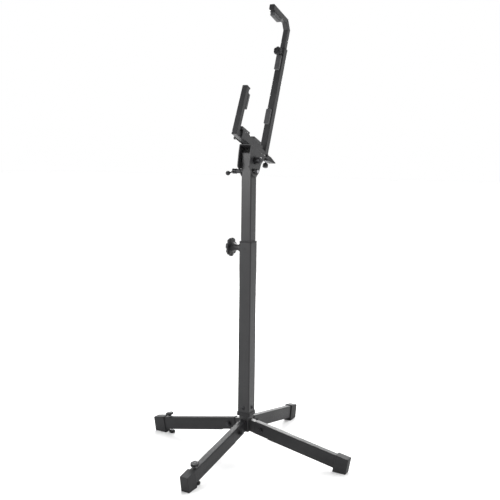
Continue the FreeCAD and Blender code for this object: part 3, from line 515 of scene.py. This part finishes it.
ball = bmesh.new()
LEVER_LENGTH, BALL_RADIUS = 0.041, 0.007
LEVER = Matrix.Translation(LEVER_PLACE) @ Matrix.Rotation(math.radians(98), 4, "X")
sphere = [(BALL_RADIUS * math.sin(math.radians(step)), -BALL_RADIUS * math.cos(math.radians(step)))
          for step in range(24, 177, 8)]
seam = [(radius - (0.00025 if abs(height) < 0.0004 else 0), height) for radius, height in sphere]
turned(ball, [(0.0027, -0.0068)] + seam + [(0.0001, 0.00698)],
       LEVER @ Matrix.Translation((0, 0, LEVER_LENGTH)), steps=48)
piece("tilt_lever_grip", ball, "tilt_handle", KNOB_PLASTIC, ["tilt_lever_ball"])


# ---- weld beads ---------------------------------------------------------------------------------

WELD_SIDES = 10


def weld(name, body, path, normal_out, size, seed):
    """A closed bead of overlapping ripples along a path of points."""
    count = len(path)
    turns = [2 * math.pi * part / WELD_SIDES for part in range(WELD_SIDES)]
    loops = []
    for step, point in enumerate(path):
        before, after = path[step - 1], path[(step + 1) % count]
        along = (after - before).normalized()
        out = normal_out(point)
        out = (out - along * out.dot(along)).normalized()
        side_way = along.cross(out)
        uneven = noise.noise(point * 300 + Vector((seed, 0, 0)))
        ripple = 1 + 0.16 * math.cos(2 * math.pi * step / 3.0) + 0.18 * uneven
        loops.append([point + (out * math.sin(turn) * 0.62 + side_way * math.cos(turn)) * size * ripple
                      for turn in turns])
    bm = bmesh.new()
    rows = [[bm.verts.new(point) for point in loop] for loop in loops]
    for row, after in zip(rows, rows[1:] + rows[:1]):
        for part in range(WELD_SIDES):
            nxt = (part + 1) % WELD_SIDES
            bm.faces.new((row[part], row[nxt], after[nxt], after[part]))
    return piece(name, bm, body, PAINT)


def ring_path(matrix, radius, count):
    """A circle in its frame's XY plane."""
    turns = [2 * math.pi * step / count for step in range(count)]
    return [matrix @ Vector((radius * math.cos(turn), radius * math.sin(turn), 0)) for turn in turns]


def square_path(matrix, half, corner, count=28):
    """A rounded square in its frame's XY plane."""
    flat = []
    for turn in range(4):
        across, along = ((1, 1), (-1, 1), (-1, -1), (1, -1))[turn]
        center = Vector(((half - corner) * across, (half - corner) * along, 0))
        for part in range(4):
            angle = math.radians(90 * turn + 30 * part)
            flat.append(center + Vector((corner * math.cos(angle), corner * math.sin(angle), 0)))
    path = []
    for first, second in zip(flat, flat[1:] + flat[:1]):
        parts = max(1, round((second - first).length / 0.0006))
        path += [first.lerp(second, part / parts) for part in range(parts)]
    return [matrix @ point for point in path]


def outward_of(matrix):
    """The direction away from the middle of a frame."""
    middle = matrix.to_translation()
    return lambda point: (point - middle).normalized()


def squashed(angle, lean):
    """A mitre's plane: the tube's section stretched along the plane that halves the bend."""
    shear = Matrix.Identity(4)
    shear[2][1] = math.tan(angle) * lean
    return shear


KNEE_MITRE, BEND_MITRE = math.radians(22.5), math.radians(20.7)
LEFT, FORWARD = Vector((-1, 0, 0)), Vector((0, -1, 0))
BOSS = MAST_STUD @ Matrix.Translation((0, 0, 0.02015))
weld("mast_boss_weld", "base", ring_path(BOSS, 0.0122, 126), lambda point: LEFT, 0.0013, 3.0)
ARM_BOSS = ARM_STUD @ Matrix.Translation((0, 0, 0.00015))
weld("arm_boss_weld", "cradle", ring_path(ARM_BOSS, 0.0071, 78),
     lambda point: CRADLE.to_3x3() @ FORWARD, 0.0009, 5.0)
KNEE = CRADLE @ Matrix.Translation((0, ARM_PLACE, KNEE_LEVEL)) @ squashed(KNEE_MITRE, 1)
BEND = (CRADLE @ Matrix.Translation((0, BEND_PLACE, HOOK_LEVEL)) @ Matrix.Rotation(math.pi / 2, 4, "X")
        @ squashed(BEND_MITRE, -1))
FOOT = CRADLE @ Matrix.Translation((0, SHORT_PLACE, BAR_LEVEL)) @ squashed((math.pi / 2 - LEAN) / 2, 1)
for name, body, mitre, seed in (("upper_arm_knee_weld", "upper_arm", KNEE, 7.0),
                                ("upper_arm_bend_weld", "upper_arm", BEND, 9.0),
                                ("short_arm_weld", "short_arm", FOOT, 11.0)):
    weld(name, body, square_path(mitre, BAR_HALF, BAR_CORNER), outward_of(mitre), 0.0007, seed)


# ---- floor, lights and camera -----------------------------------------------------------------

ground = bmesh.new()
bmesh.ops.create_grid(ground, x_segments=8, y_segments=8, size=30)
plane = bpy.data.meshes.new("floor")
ground.to_mesh(plane)
ground.free()
plane.materials.append(FLOOR)
floor = bpy.data.objects.new("floor", plane)
floor.location.z = min(0.0, cad_box[0].z)
bpy.context.scene.collection.objects.link(floor)

bpy.context.scene.view_settings.view_transform = "Standard"

world = bpy.data.worlds.new("studio")
world.use_nodes = True
sky = world.node_tree
direction = sky.nodes.new("ShaderNodeTexCoord").outputs["Generated"]
parts = sky.nodes.new("ShaderNodeSeparateXYZ")
sky.links.new(direction, parts.inputs[0])
dimming = sky.nodes.new("ShaderNodeMapRange")
dimming.interpolation_type = "SMOOTHSTEP"
for key, number in (("From Min", 0.26), ("From Max", 0.55), ("To Min", 1.0), ("To Max", 0.32)):
    dimming.inputs[key].default_value = number
sky.links.new(parts.outputs["Z"], dimming.inputs["Value"])
sky.links.new(dimming.outputs["Result"], sky.nodes["Background"].inputs["Strength"])
sky.nodes["Background"].inputs["Color"].default_value = (1, 1, 1, 1)
bpy.context.scene.world = world


def soft_light(name, place, target, size, watts):
    """A rectangular area light that faces its target."""
    data = bpy.data.lights.new(name, "AREA")
    data.shape = "RECTANGLE"
    data.size, data.size_y = size
    data.energy = watts
    lamp = bpy.data.objects.new(name, data)
    lamp.location = place
    lamp.rotation_euler = (Vector(target) - Vector(place)).to_track_quat("-Z", "Y").to_euler()
    bpy.context.scene.collection.objects.link(lamp)
    return lamp


soft_light("key", place=(-1.15, -2.1, 1.3), target=(0, 0, 0.9), size=(1.1, 0.8), watts=22)
head_light = soft_light("head", place=(-0.3, -0.62, 0.98), target=(0, 0, 0.78), size=(0.3, 0.3), watts=2.2)
rim_light = soft_light("rim", place=(-1.3, 2.7, 1.5), target=(0, 0, 0.3), size=(2.2, 0.8), watts=115)
head_light.visible_camera = False
rim_light.visible_camera = False

above = bpy.data.lights.new("above", "SUN")
above.energy = 2.7
above.angle = math.radians(70)
overhead = bpy.data.objects.new("above", above)
overhead.rotation_euler = Vector((-0.25, -0.35, -1.0)).to_track_quat("-Z", "Y").to_euler()
bpy.context.scene.collection.objects.link(overhead)

lens = bpy.data.cameras.new("camera")
lens.lens = 51.575
lens.sensor_width = 36.0
lens.shift_y = -0.05
camera = bpy.data.objects.new("camera", lens)
camera.location = (1.04205, -1.88040, 0.89581)
YAW, PITCH, ROLL = math.radians(28.8637), math.radians(-5.222), math.radians(0.706)
camera.rotation_euler = (Matrix.Rotation(YAW, 3, "Z") @ Matrix.Rotation(math.pi / 2 + PITCH, 3, "X")
                         @ Matrix.Rotation(ROLL, 3, "Z")).to_euler()
bpy.context.scene.collection.objects.link(camera)
bpy.context.scene.camera = camera
